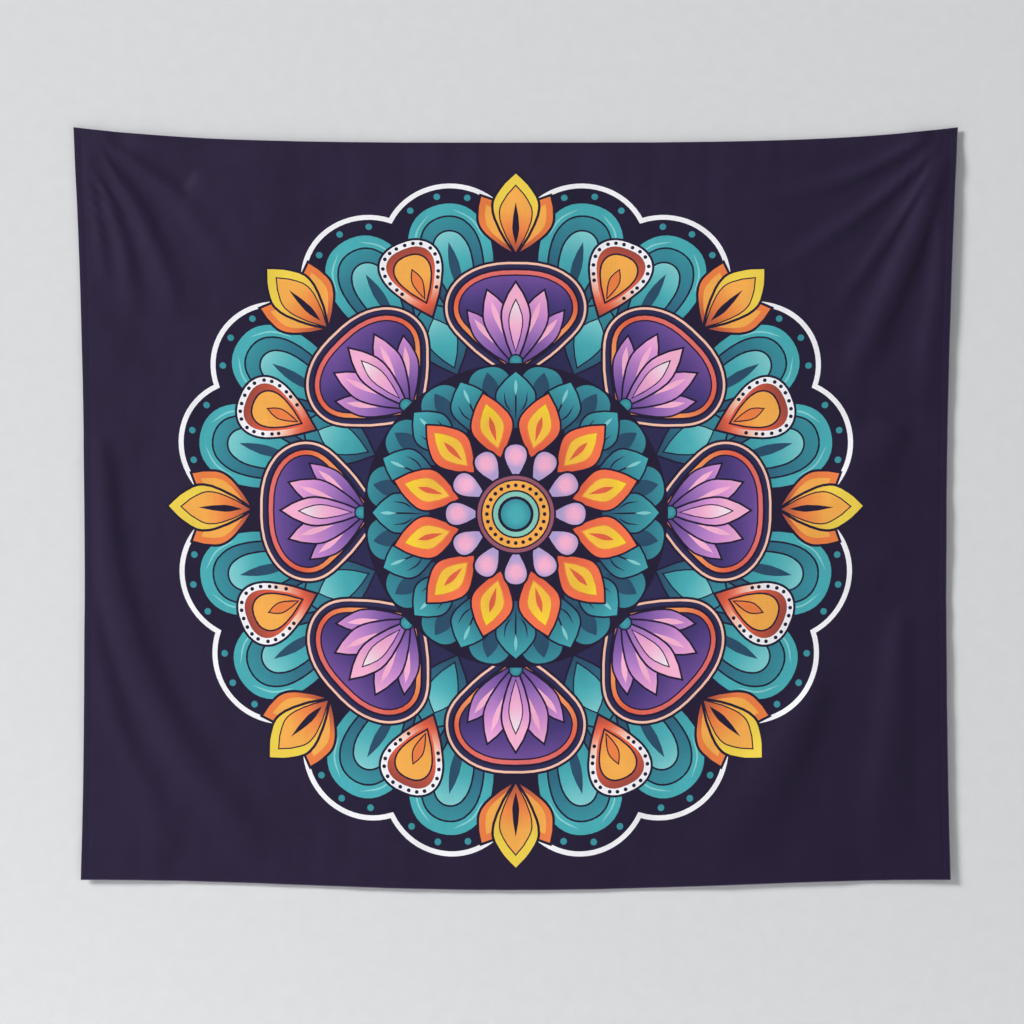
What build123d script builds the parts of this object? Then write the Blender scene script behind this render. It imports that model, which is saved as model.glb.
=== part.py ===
from build123d import *
import math
import os

# Tapestry wall hanging: one printed cloth with a hem sewn all round, hung by two small tape
# loops that are sewn behind its top corners. Millimetres, +Z up, +X to the right as the
# printed front is seen. The wall is the plane y = 0 and the cloth hangs in front of it, at
# negative y. The origin lies on the wall, midway between the two nail points.

# Cut size of the cloth, and how it hangs from its two top corners
cut_width = 1500.0
cut_height = 1300.0
top_span = 1528.0
waist_span = 1488.0
bottom_span = 1502.0
waist_level = 0.6
top_sag = 26.5
sag_power = 3.6
bottom_drop = 18.0
corner_height = 12.0

# Layers, from the wall side to the front
loop_gap = 1.1
tape_width = 4.0
tack_thickness = 0.4
tab_thickness = 0.8
hem_thickness = 0.6
cloth_thickness = 0.3
clearance = 0.3

# Hem and its stitching
hem_width = 12.0
stitch_inset = 10.5
thread_width = 0.4
thread_height = 0.2

# Hanging loops
eye_radius = 4.0
tape_thickness = 1.0
eye_side_inset = 7.0
loop_point_angle = 52.0
loop_length = 9.0
tab_size = (8.0, 10.0)
tab_corner = 1.0
tack_size = (6.4, 2.4)

# Care label, folded from satin ribbon and sewn under the left hem
label_length = 40.0
label_width = 25.0
label_thickness = 0.4
label_height_above_corner = 150.0
label_root_gap = 0.9

# Values worked out from the above
loop_back = -loop_gap
loop_front = loop_back - tape_width
tack_back = loop_front - clearance
tab_back = tack_back - tack_thickness
hem_back = tab_back - tab_thickness
cloth_back = hem_back - hem_thickness
cloth_front = cloth_back - cloth_thickness
eye_x = top_span / 2 - eye_side_inset
long_side_points = 9


def half_width(v):
    """Half the cloth's width at level v, 0 at the top edge and 1 at the bottom edge."""
    if v < waist_level:
        flare = (top_span - waist_span) / 2
        return waist_span / 2 + flare * (1 - v / waist_level) ** 2
    flare = (bottom_span - waist_span) / 2
    return waist_span / 2 + flare * ((v - waist_level) / (1 - waist_level)) ** 2


def cloth_point(u, v, y):
    """Where the point of the cloth at u (-1 to 1 across) and v (0 to 1 down) hangs."""
    top = corner_height - top_sag * (1 - abs(u) ** sag_power)
    bottom = corner_height - cut_height - bottom_drop * math.cos(math.pi * u / 2) ** 2
    return Vector(u * half_width(v), y, (1 - v) * top + v * bottom)


def hung_edge(start, end, y):
    """The edge between two points of the cloth: a line for a mitre, a spline along a side."""
    is_long = abs(end[0] - start[0]) > 1 or abs(end[1] - start[1]) > 0.5
    count = long_side_points if is_long else 2
    points = []
    for i in range(count):
        share = i / (count - 1)
        u = start[0] + (end[0] - start[0]) * share
        v = start[1] + (end[1] - start[1]) * share
        points.append(cloth_point(u, v, y))
    return Edge.make_spline(points) if is_long else Edge.make_line(*points)


def hung_sheet(corners, front, thickness):
    """A thin solid over the part of the cloth between four corners, from y = front backwards."""
    edges = []
    for i in range(4):
        edges.append(hung_edge(corners[i], corners[(i + 1) % 4], front))
    return Solid.extrude(Face(Wire(edges)), Vector(0, thickness, 0))


def border_corners(side, outer, inner):
    """Corners of one mitred side of a border that runs from outer to inner mm inside the edge."""
    outer_u, inner_u = 1 - 2 * outer / cut_width, 1 - 2 * inner / cut_width
    outer_v, inner_v = outer / cut_height, inner / cut_height
    if side in ("left", "right"):
        sign = -1 if side == "left" else 1
        return [
            (sign * outer_u, outer_v),
            (sign * outer_u, 1 - outer_v),
            (sign * inner_u, 1 - inner_v),
            (sign * inner_u, inner_v),
        ]
    if side == "bottom":
        outer_v, inner_v = 1 - outer_v, 1 - inner_v
    return [(-outer_u, outer_v), (outer_u, outer_v), (inner_u, inner_v), (-inner_u, inner_v)]


def cloth_panel():
    """The whole printed cloth, one layer, as it hangs."""
    return hung_sheet([(-1, 0), (1, 0), (1, 1), (-1, 1)], cloth_front, cloth_thickness)


def hem(side):
    """The edge turned over twice to the back, with the groove that its bobbin thread beds into."""
    folded = hung_sheet(border_corners(side, 0, hem_width), cloth_back, hem_thickness)
    return folded - stitch_row(side, hem_back - thread_height)


def stitch_row(side, front):
    """One lockstitch thread, as the low continuous ridge that its stitches make."""
    outer = stitch_inset - thread_width / 2
    inner = stitch_inset + thread_width / 2
    return hung_sheet(border_corners(side, outer, inner), front, thread_height)


def teardrop(radius, x):
    """A circle round the nail with straight legs running down to a point."""
    angle = math.radians(loop_point_angle)
    side_x, side_z = radius * math.cos(angle), -radius * math.sin(angle)
    legs = Polyline((side_x, side_z), (0, -radius / math.sin(angle)), (-side_x, side_z), close=True)
    return Pos(x, 0) * (Circle(radius) + make_face(legs))


def hanging_loop(x):
    """Narrow tape on edge, round the nail and back to itself, with both legs in one neck."""
    neck_top = -(eye_radius + tape_thickness)
    neck = Pos(x, (neck_top - loop_length) / 2) * Rectangle(2 * tape_thickness, loop_length + neck_top)
    profile = teardrop(eye_radius + tape_thickness, x) + neck - teardrop(eye_radius, x)
    return extrude(Plane.XZ.offset(-loop_front - tape_width) * profile, tape_width)


def flat_piece(x, z, size, corner, front, thickness):
    """A small flat piece with rounded corners, from y = front towards the wall."""
    profile = Pos(x, z) * RectangleRounded(size[0], size[1], corner)
    return extrude(Plane.XZ.offset(-front - thickness) * profile, thickness)


def loop_tab(x):
    """The two tape ends, laid flat on the side hem below the loop."""
    z = -loop_length - clearance - tab_size[1] / 2
    return flat_piece(x, z, tab_size, tab_corner, hem_back, tab_thickness)


def loop_tack(x):
    """The bar tack: close zigzag stitches across the tape ends."""
    z = -loop_length - clearance - tab_size[1] / 2
    return flat_piece(x, z, tack_size, tack_size[1] / 2.1, tab_back, tack_thickness)


def care_label():
    """A blank folded label that lies behind the cloth, its root at the left hem."""
    z = corner_height - cut_height + label_height_above_corner
    v_top = (corner_height - z - label_width / 2) / cut_height
    v_bottom = (corner_height - z + label_width / 2) / cut_height
    inner_u = 1 - 2 * hem_width / cut_width
    hem_edge = -inner_u * min(half_width(v_top), half_width(v_bottom))
    size = (label_length, label_width)
    x = hem_edge + label_root_gap + label_length / 2
    return flat_piece(x, z, size, tab_corner, cloth_back + clearance, label_thickness)


def all_pieces():
    """Every node of the tapestry by name."""
    pieces = {"cloth_panel": cloth_panel(), "care_label": care_label()}
    for side in ("top", "bottom", "left", "right"):
        pieces["hem_" + side] = hem(side)
        pieces["needle_thread_" + side] = stitch_row(side, cloth_front - thread_height)
        pieces["bobbin_thread_" + side] = stitch_row(side, hem_back - thread_height)
    for side, x in (("left", -eye_x), ("right", eye_x)):
        pieces["hanging_loop_" + side] = hanging_loop(x)
        pieces["loop_tab_" + side] = loop_tab(x)
        pieces["loop_tack_" + side] = loop_tack(x)
    return pieces


os.makedirs("parts", exist_ok=True)
for name, solid in all_pieces().items():
    export_step(solid, "parts/" + name + ".step")
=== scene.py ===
import math

import bmesh
import bpy
import numpy as np
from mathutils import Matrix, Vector
from mathutils.geometry import delaunay_2d_cdt


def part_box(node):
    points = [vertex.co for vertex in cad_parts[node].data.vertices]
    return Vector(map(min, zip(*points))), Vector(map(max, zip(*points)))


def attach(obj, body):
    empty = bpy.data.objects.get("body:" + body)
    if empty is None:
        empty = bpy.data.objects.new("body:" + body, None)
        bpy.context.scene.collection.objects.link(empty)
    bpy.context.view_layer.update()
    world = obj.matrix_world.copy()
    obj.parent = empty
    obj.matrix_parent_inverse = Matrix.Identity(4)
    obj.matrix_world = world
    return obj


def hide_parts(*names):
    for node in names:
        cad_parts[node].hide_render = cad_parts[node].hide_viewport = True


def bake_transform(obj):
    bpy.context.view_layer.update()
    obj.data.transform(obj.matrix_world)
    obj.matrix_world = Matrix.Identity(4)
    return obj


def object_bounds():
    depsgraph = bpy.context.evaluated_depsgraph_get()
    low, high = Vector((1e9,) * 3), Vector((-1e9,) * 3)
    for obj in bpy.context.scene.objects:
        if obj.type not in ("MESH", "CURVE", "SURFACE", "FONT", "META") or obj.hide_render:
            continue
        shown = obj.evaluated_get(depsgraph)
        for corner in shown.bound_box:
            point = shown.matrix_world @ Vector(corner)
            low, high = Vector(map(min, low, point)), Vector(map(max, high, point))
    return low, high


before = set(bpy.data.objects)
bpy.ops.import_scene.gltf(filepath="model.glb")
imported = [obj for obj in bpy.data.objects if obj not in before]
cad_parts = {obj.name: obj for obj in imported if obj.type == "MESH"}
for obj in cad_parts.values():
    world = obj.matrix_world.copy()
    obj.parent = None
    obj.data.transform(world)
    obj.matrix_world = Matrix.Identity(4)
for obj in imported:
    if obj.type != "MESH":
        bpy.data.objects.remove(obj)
CAD_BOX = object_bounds()

# The print is drawn in millimetres on the flat cloth, with the mandala's centre at (0, 0).
# Everything built from it is in metres, in the CAD's frame: the wall is y = 0.

MM = 0.001
CUT_WIDTH, CUT_HEIGHT = 1500.0, 1300.0


# ------------------------------------------------------------------ how the cloth hangs

cloth_low, cloth_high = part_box("cloth_panel")
_, hem_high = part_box("hem_top")
_, bottom_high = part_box("hem_bottom")
tab_low, tab_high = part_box("loop_tab_left")
tack_low, tack_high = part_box("loop_tack_left")
loop_low, loop_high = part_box("hanging_loop_left")
label_low, label_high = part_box("care_label")

TOP_HALF = cloth_high.x / MM
BOTTOM_HALF = bottom_high.x / MM
CORNER_Z = cloth_high.z / MM
BOTTOM_DROP = (CORNER_Z - CUT_HEIGHT) - cloth_low.z / MM
TOP_SAG = 26.5
SAG_POWER = 3.6
WAIST_HALF = 744.0
WAIST_LEVEL = 0.6
FRONT_Y = cloth_low.y / MM
BACK_Y = cloth_high.y / MM
HEM_BACK_Y = hem_high.y / MM
STITCH_INSET = 10.5


def hang(s, t):
    """The CAD's own outline: where flat point (s, t) hangs, as x and z in millimetres."""
    u, v = s / (CUT_WIDTH / 2), 0.5 - t / CUT_HEIGHT
    upper = (TOP_HALF - WAIST_HALF) * (1 - v / WAIST_LEVEL) ** 2
    lower = (BOTTOM_HALF - WAIST_HALF) * ((v - WAIST_LEVEL) / (1 - WAIST_LEVEL)) ** 2
    half = WAIST_HALF + np.where(v < WAIST_LEVEL, upper, lower)
    top = CORNER_Z - TOP_SAG * (1 - np.abs(u) ** SAG_POWER)
    bottom = CORNER_Z - CUT_HEIGHT - BOTTOM_DROP * np.cos(math.pi * u / 2) ** 2
    return u * half, (1 - v) * top + v * bottom


def unhang(x, z):
    """The flat point that hangs at (x, z), stepped closer from a first guess."""
    s, t = x, z - CORNER_Z + CUT_HEIGHT / 2
    for _ in range(8):
        at_x, at_z = hang(s, t)
        s, t = s + x - at_x, t + z - at_z
    return s, t


# ------------------------------------------------------------------ drawing: curves

SHARP = "sharp"


def smooth(points, closed=True, step=7.0):
    """A smooth line through the points, sharp at those marked SHARP, as an array of (x, y)."""
    xy = np.array([p[:2] for p in points], float)
    sharp = [len(p) > 2 for p in points]
    n = len(xy)
    heading = []
    for i in range(n):
        before, after = xy[(i - 1) % n], xy[(i + 1) % n]
        if not closed and i in (0, n - 1):
            before, after = (xy[0], xy[1]) if i == 0 else (xy[-2], xy[-1])
        way = after - before
        heading.append(way / max(np.linalg.norm(way), 1e-9))
    out = []
    for i in range(n if closed else n - 1):
        a, b = xy[i], xy[(i + 1) % n]
        chord = np.linalg.norm(b - a)
        reach = 0.36 * chord
        h0 = a + (b - a) * 0.3 if sharp[i] else a + heading[i] * reach
        h1 = b - (b - a) * 0.3 if sharp[(i + 1) % n] else b - heading[(i + 1) % n] * reach
        count = max(2, int(math.ceil(chord / step)))
        for k in range(count):
            w = k / count
            ends = (1 - w) ** 3 * a + w ** 3 * b
            out.append(ends + 3 * (1 - w) ** 2 * w * h0 + 3 * (1 - w) * w * w * h1)
    if not closed:
        out.append(xy[-1])
    return np.array(out)


def circle(x, y, radius, count=None):
    """A round outline."""
    count = count or max(12, int(2 * math.pi * radius / 6))
    a = np.linspace(0, 2 * math.pi, count, endpoint=False)
    return np.column_stack([x + radius * np.cos(a), y + radius * np.sin(a)])


def mirrored(half):
    """A closed outline's points from those of its right half, first and last on the axis."""
    other = [(-p[0],) + tuple(p[1:]) for p in reversed(half[1:-1])]
    return list(half) + other


def anticlockwise(points):
    """The closed outline run anticlockwise from its rightmost point, which is always convex."""
    points = np.roll(points, -int(np.argmax(points[:, 0])), axis=0)
    to_next, to_last = points[1] - points[0], points[-1] - points[0]
    if to_next[0] * to_last[1] - to_next[1] * to_last[0] < 0:
        points = np.roll(points[::-1], 1, axis=0)
    return points


def grow(points, amount):
    """The closed outline moved outwards by amount, with its corners mitred up to a limit."""
    points = anticlockwise(points)
    ahead = np.roll(points, -1, 0) - points
    ahead /= np.maximum(np.linalg.norm(ahead, axis=1), 1e-9)[:, None]
    behind = np.roll(ahead, 1, 0)
    normal = np.column_stack([ahead[:, 1] + behind[:, 1], -ahead[:, 0] - behind[:, 0]])
    length = np.maximum(np.linalg.norm(normal, axis=1), 1e-9)
    normal /= length[:, None]
    mitre = np.minimum(2 / length, 2.2)
    return points + normal * (amount * mitre)[:, None]


def thinned(points, within=0.33):
    """The closed outline without the points that its straighter stretches can do without."""
    ring = np.vstack([points, points[:1]])
    kept, start = [0], 0
    while start < len(points):
        end = start + 1
        while end < len(points):
            way = ring[end + 1] - ring[start]
            rest = ring[start + 1:end + 1] - ring[start]
            off = np.abs(rest[:, 0] * way[1] - rest[:, 1] * way[0])
            if off.max() > within * max(np.linalg.norm(way), 1e-6):
                break
            end += 1
        start = end
        kept.append(start)
    return ring[kept[:-1]] if len(kept) > 4 else points


def ribbon(line, width):
    """A stroke along an open line, full in the middle and pointed at both ends."""
    ahead = np.gradient(line, axis=0)
    ahead /= np.maximum(np.linalg.norm(ahead, axis=1), 1e-9)[:, None]
    side = np.column_stack([-ahead[:, 1], ahead[:, 0]])
    swell = np.sin(math.pi * np.linspace(0, 1, len(line))) ** 0.6
    half = (width / 2 * swell)[:, None]
    return np.vstack([line + side * half, (line - side * half)[-2:0:-1]])


def turned(points, angle):
    """The points turned clockwise about the origin."""
    a = math.radians(angle)
    x, y = points[:, 0], points[:, 1]
    return np.column_stack([x * math.cos(a) + y * math.sin(a), y * math.cos(a) - x * math.sin(a)])


def petal(root, tip, half, fullest=0.6):
    """A pointed petal on the axis from root to tip, its half width at a share of its length."""
    level = root + fullest * (tip - root)
    shoulder = (0.62 * half, level + 0.56 * (tip - level))
    waist = (0.68 * half, (root + level) / 2)
    half_outline = [(0, tip, SHARP), shoulder, (half, level), waist, (0, root, SHARP)]
    return smooth(mirrored(half_outline), step=6)


def round_petal(root, tip, half, fullest=0.68):
    """A petal with a round end."""
    level = root + fullest * (tip - root)
    shoulder = (0.74 * half, level + 0.74 * (tip - level))
    waist = (0.66 * half, (root + level) / 2)
    half_outline = [(0, tip), shoulder, (half, level), waist, (0, root, SHARP)]
    return smooth(mirrored(half_outline), step=6)


# ------------------------------------------------------------------ drawing: colours

INK = (36, 29, 54)
GROUND = (43, 34, 59)
# The print's ground darkens from GROUND at the upper left to the darker tone below at the lower
# right, along the next line's two points: painted shade. The hems mottle at random between the same
# two tones.
GROUND_SHADE_AND_MOTTLE = (37, 28, 52)
PAINTED_SHADE_LINE = (-300, 300), (700, -600)
NAVY = (46, 44, 82)
WHITE = (243, 242, 246)
PEACH = (246, 194, 172)
TEAL = (74, 172, 180)
TEAL_MID = (60, 146, 158)
TEAL_DEEP = (50, 112, 134)
TEAL_DARK = (44, 78, 104)
TEAL_PALE = (132, 206, 208)
YELLOW = (238, 208, 78)
AMBER = (244, 172, 80)
ORANGE = (236, 128, 70)
RUST = (156, 72, 62)
RED_ORANGE = (226, 98, 70)
PETAL = (246, 116, 78)
DROP_YELLOW = (246, 194, 70)
BRIGHT_YELLOW = (250, 216, 52)
RIM_ORANGE = (243, 152, 94)
RIM_PINK = (226, 112, 112)
PINK = (246, 178, 208)
ORCHID = (214, 146, 210)
LILAC = (168, 120, 190)
VIOLET = (120, 84, 158)
DEEP_VIOLET = (74, 58, 120)
LAVENDER = (178, 160, 208)
MAUVE = (150, 88, 108)
MINT = (136, 200, 184)


def flat(colour):
    """One colour all over."""
    return lambda p: np.tile(np.array(colour, float), (len(p), 1))


def ramp(share, colours):
    """Colours blended along share, 0 to 1."""
    stops = np.linspace(0, 1, len(colours))
    table = np.array(colours, float)
    return np.column_stack([np.interp(share, stops, table[:, i]) for i in range(3)])


def fade(start, end, *colours):
    """Colours that change along the line from start to end."""
    a, b = np.array(start, float), np.array(end, float)
    return lambda p: ramp(np.clip((p - a) @ (b - a) / ((b - a) @ (b - a)), 0, 1), colours)


def rise(low, high, *colours):
    """Colours that change outwards along the axis, from low to high."""
    return fade((0, low), (0, high), *colours)


def glow(centre, radius, *colours):
    """Colours that change outwards from centre to radius."""
    c = np.array(centre, float)
    return lambda p: ramp(np.clip(np.linalg.norm(p - c, axis=1) / radius, 0, 1), colours)


# ------------------------------------------------------------------ drawing: the canvas

# A place is (degrees clockwise from the top, distance out, 1 or -1 to mirror).
CENTRE = [(0, 0, 1)]


def spaced(count, first=0.0, out=0.0):
    """Evenly spaced places round the centre, the first at this angle, each so far out."""
    return [(first + 360 / count * k, out, 1) for k in range(count)]


def both_sides(places):
    """The places, each with its mirror image."""
    return [(angle, out, side) for angle, out, _ in places for side in (1, -1)]


class Canvas:
    """Filled outlines in drawing order, each with its colours in its own local frame."""

    def __init__(self):
        """An empty canvas."""
        self.outlines, self.paints = [], []

    def fill(self, points, paint, place):
        """One filled outline, drawn at its place."""
        angle, out, side = place
        world = turned(np.column_stack([side * points[:, 0], points[:, 1] + out]), angle)

        def colours(p):
            """The paint's colours at points of the whole print."""
            local = turned(p, -angle)
            return paint(np.column_stack([side * local[:, 0], local[:, 1] - out]))

        self.outlines.append(world[::-1] if side < 0 else world)
        self.paints.append(colours)

    def shape(self, points, paint, places, ink=2.6, line=INK):
        """An inked shape at each of its places."""
        points = anticlockwise(points)
        around, inside = thinned(grow(points, ink / 2)), thinned(grow(points, -ink / 2))
        for place in places:
            if ink:
                self.fill(around, flat(line), place)
            self.fill(inside, paint, place)

    def stroke(self, points, width, colour, places):
        """A brush stroke through the points at each of its places."""
        line = smooth(points, closed=False, step=6)
        outline = thinned(anticlockwise(ribbon(line, width)))
        for place in places:
            self.fill(outline, flat(colour), place)


# ------------------------------------------------------------------ drawing: the motifs

# The border is sixteen round scallops, in pairs on both sides of each of the eight drops.
# Angles are in degrees from the middle of the notch between two pairs.
SCALLOP_OUT, SCALLOP_RADIUS = 478.0, 114.0
SCALLOP_ANGLE, DROP_ANGLE = 13.5, 22.5
BORDER_LINE = 8.6
TIP_OUT, PANEL_OUT, DROP_OUT = 454.0, 250.0, 398.0


def meeting(half_angle):
    """How far out two scallops meet that lie half_angle degrees to each side."""
    half = math.radians(half_angle)
    away = SCALLOP_OUT * math.sin(half)
    return SCALLOP_OUT * math.cos(half) + math.sqrt(SCALLOP_RADIUS ** 2 - away ** 2)


def border_path():
    """The scalloped border of the mandala, one arc for each scallop."""
    middle = turned(np.array([(0, SCALLOP_OUT)]), SCALLOP_ANGLE)[0]
    at_drop = turned(np.array([(0, meeting(DROP_ANGLE - SCALLOP_ANGLE))]), DROP_ANGLE)[0]
    first, last = np.array((0, meeting(SCALLOP_ANGLE))) - middle, at_drop - middle
    angles = np.linspace(math.atan2(first[1], first[0]), math.atan2(last[1], last[0]), 26)
    arc = middle + SCALLOP_RADIUS * np.column_stack([np.cos(angles), np.sin(angles)])
    other = turned(arc[::-1] * (-1, 1), 2 * DROP_ANGLE)
    pair = np.vstack([arc[:-1], other[:-1]])
    return np.vstack([turned(pair, angle) for angle, _, _ in spaced(8)])


def draw_tips(canvas):
    """Eight lotus buds that stand in the border's notches."""
    places = spaced(8, 0, TIP_OUT)
    side = turned(petal(0, 124, 29), 29)
    canvas.shape(side, fade((0, 0), (56, 104), RUST, ORANGE, ORANGE), both_sides(places), 4.4)
    core = turned(petal(16, 104, 17), 29)
    canvas.shape(core, fade((0, 0), (48, 92), ORANGE, AMBER, AMBER), both_sides(places), 0)
    canvas.shape(petal(0, 150, 40), rise(40, 150, AMBER, YELLOW, YELLOW), places, 4.4)
    canvas.shape(petal(4, 126, 28), rise(0, 126, RUST, ORANGE, AMBER, AMBER), places, 2.2)
    canvas.shape(petal(20, 96, 6, 0.4), flat(INK), places, 0)


def draw_scallops(canvas):
    """A nest of three teal leaves in each scallop, under a row of beads."""
    places = [(a + side * SCALLOP_ANGLE, SCALLOP_OUT, side) for a, _, side in both_sides(spaced(8))]
    for root, tip, half, colours in (
        (-196, 84, 72, (TEAL_DARK, TEAL_DEEP, TEAL, TEAL)),
        (-166, 60, 52, (TEAL_DARK, TEAL_DARK, TEAL_DEEP, TEAL_MID)),
        (-136, 34, 33, (TEAL_DEEP, TEAL_MID, TEAL, TEAL_PALE)),
    ):
        canvas.shape(round_petal(root, tip, half), rise(root, tip, *colours), places, 3.2)
    canvas.shape(petal(-96, 14, 9), flat(TEAL_DARK), places, 0)
    for side in (-1, 1):
        canvas.stroke([(side * 60, 8), (side * 48, 44), (side * 20, 70)], 3.0, TEAL_PALE, places)
    for angle in (-62, -31, 0, 31):
        canvas.shape(turned(circle(0, 97, 6.6), angle), flat(TEAL_MID), places, 1.6)


def draw_drops(canvas):
    """Eight beaded drops, one between the two scallops of each pair."""
    places = spaced(8, DROP_ANGLE, DROP_OUT)
    outer = round_petal(-26, 118, 55)
    canvas.shape(outer, rise(-26, 50, RUST, RED_ORANGE, PEACH, WHITE), places, 4.0)
    canvas.shape(grow(outer, -13), rise(-10, 104, RED_ORANGE, RED_ORANGE, RUST), places, 0)
    row, count, lowest = grow(outer, -7.5), 24, 20
    lengths = np.cumsum(np.linalg.norm(np.roll(row, -1, 0) - row, axis=1))
    for k in range(count):
        x, y = row[int(np.searchsorted(lengths, lengths[-1] * (k + 0.5) / count)) % len(row)]
        if y > lowest:
            canvas.shape(circle(x, y, 3.4, 9), flat(INK), places, 0)
    canvas.shape(round_petal(2, 92, 32), rise(4, 92, ORANGE, AMBER, AMBER), places, 3.0)
    canvas.shape(petal(10, 66, 9), flat(ORANGE), places, 2.2)


def draw_panels(canvas):
    """Eight broad violet petals with a peach line round them and a fan of five petals in each."""
    places = spaced(8, 0, PANEL_OUT)
    both = both_sides(places)
    panel = round_petal(0, 178, 106, 0.6)
    canvas.shape(grow(panel, 17), flat(PEACH), places, 4.0)
    canvas.shape(grow(panel, 11), flat(NAVY), places, 0)
    warm = rise(8, 180, RIM_ORANGE, RIM_ORANGE, RED_ORANGE, RIM_PINK)
    canvas.shape(grow(panel, 2), warm, places, 4.0)
    canvas.shape(grow(panel, -8.5), rise(10, 174, INK, NAVY, DEEP_VIOLET, VIOLET), places, 2.6)
    for angle, tip, half, colours in (
        (38, 136, 20, (DEEP_VIOLET, VIOLET, LILAC, ORCHID)),
        (19, 152, 24, (DEEP_VIOLET, VIOLET, LILAC, ORCHID, PINK)),
    ):
        way = turned(np.array([(0, tip)]), angle)[0]
        canvas.shape(turned(petal(12, tip, half), angle), fade((0, 0), way, *colours), both, 3.2)
        glint = turned(petal(0.45 * tip, 0.86 * tip, 5), angle)
        canvas.shape(glint, flat(PINK), both, 0)
    canvas.shape(petal(10, 158, 25), rise(10, 158, VIOLET, LILAC, ORCHID, PINK, PINK), places, 3.4)
    canvas.shape(petal(34, 126, 12), rise(34, 126, ORCHID, PINK, WHITE), places, 2.0)
    canvas.shape(circle(0, 17, 12), glow((0, 19), 13, TEAL, TEAL_MID, TEAL_DEEP), places, 2.6)


def draw_ring(canvas):
    """The dark ring behind the panels, with a teal leaf between each two."""
    canvas.shape(circle(0, 0, 372, 96), flat(NAVY), CENTRE, 3.0)
    between = spaced(8, DROP_ANGLE)
    shade = rise(262, 400, TEAL_DARK, TEAL_DEEP, TEAL_MID)
    canvas.shape(petal(262, 400, 52), shade, between, 3.2)
    canvas.shape(petal(276, 370, 26), rise(276, 370, TEAL_MID, TEAL, TEAL_PALE), between, 2.4)


def draw_rosette(canvas):
    """Two rows of sixteen teal leaves round the orange petals."""
    canvas.shape(circle(0, 0, 264, 80), flat(INK), CENTRE, 0)
    behind, front = spaced(16, 11.25), spaced(16)
    dim = rise(170, 262, TEAL_DARK, TEAL_DEEP, TEAL_MID)
    canvas.shape(round_petal(150, 262, 38), dim, behind, 3.0)
    canvas.shape(petal(186, 252, 14), flat(TEAL_DARK), behind, 0)
    shade = rise(150, 250, TEAL_DARK, TEAL_DEEP, TEAL_MID, TEAL)
    canvas.shape(petal(140, 250, 35), shade, front, 3.2)
    canvas.stroke([(0, 160), (0, 200), (0, 238)], 3.4, INK, front)
    canvas.stroke([(6, 176), (17, 192), (20, 214)], 2.6, INK, both_sides(front))
    canvas.shape(petal(206, 236, 3), flat(TEAL_PALE), front, 0)


def draw_flower(canvas):
    """Twelve orange petals, twelve lavender petals and the ringed centre."""
    canvas.shape(circle(0, 0, 150, 60), flat(INK), CENTRE, 0)
    orange, lavender = spaced(12, 15), spaced(12)
    canvas.shape(petal(100, 219, 37, 0.5), rise(110, 219, RED_ORANGE, PETAL, PETAL), orange, 3.4)
    ripe = rise(124, 198, DROP_YELLOW, DROP_YELLOW, BRIGHT_YELLOW)
    canvas.shape(petal(118, 200, 21, 0.5), ripe, orange, 2.2, ORANGE)
    canvas.shape(petal(130, 176, 5), flat(RED_ORANGE), orange, 0)
    cool = glow((0, 101), 42, PINK, PINK, LAVENDER, LAVENDER, VIOLET)
    canvas.shape(round_petal(58, 123, 21), cool, lavender, 4.0)
    rings = (70, INK), (66.5, MAUVE), (60.5, INK), (58, AMBER), (42, INK), (39, MINT)
    for radius, colour in rings:
        canvas.shape(circle(0, 0, radius, 60), flat(colour), CENTRE, 0)
    canvas.shape(circle(0, 50, 3.4, 10), flat(INK), spaced(24), 0)
    canvas.shape(circle(0, 0, 31, 48), flat(INK), CENTRE, 0)
    canvas.shape(circle(0, 0, 26, 40), glow((0, 0), 26, TEAL, TEAL, TEAL_MID), CENTRE, 0)


def draw_print():
    """The whole print, from the ground up."""
    canvas = Canvas()
    border = border_path()
    canvas.shape(grow(border, BORDER_LINE / 2), flat(WHITE), CENTRE, 0)
    canvas.shape(grow(border, -BORDER_LINE / 2), flat(INK), CENTRE, 0)
    for draw in (
        draw_scallops, draw_ring, draw_drops, draw_panels, draw_tips, draw_rosette, draw_flower,
    ):
        draw(canvas)
    return canvas


# ------------------------------------------------------------------ triangulating the print

# Spacing of the points inside the cloth, and how far from the centre it is kept up
FILL_ZONES = [(9.0, 235.0), (19.0, 600.0), (12.0, CUT_WIDTH)]
PRINT_STRETCH = 1.004
PRINT_RISE = 4.0
PRINT_SLIP = 11.5 / 604 ** 2


def cloth_t(y):
    """Height on the flat cloth of height y on the print, which lies a little low at both ends."""
    return PRINT_RISE + PRINT_STRETCH * y - PRINT_SLIP * y * y


def print_y(t):
    """Height on the print of height t on the flat cloth."""
    root = np.sqrt(PRINT_STRETCH ** 2 - 4 * PRINT_SLIP * (t - PRINT_RISE))
    return (PRINT_STRETCH - root) / (2 * PRINT_SLIP)


BORDER_ROWS = (5.0, STITCH_INSET, 17.0)
BORDER_STEP = 10.0


def row_points(inset, step=BORDER_STEP):
    """Points round the flat cloth, inset from its edge, anticlockwise from the lower left."""
    right, high = CUT_WIDTH / 2 - inset, CUT_HEIGHT / 2 - inset
    across = np.linspace(-right, right, int(2 * right / step) + 1)[:-1]
    up = np.linspace(-high, high, int(2 * high / step) + 1)[:-1]
    return np.vstack([
        np.column_stack([across, np.full(len(across), -high)]),
        np.column_stack([np.full(len(up), right), up]),
        np.column_stack([-across, np.full(len(across), high)]),
        np.column_stack([np.full(len(up), -right), -up]),
    ])


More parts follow.
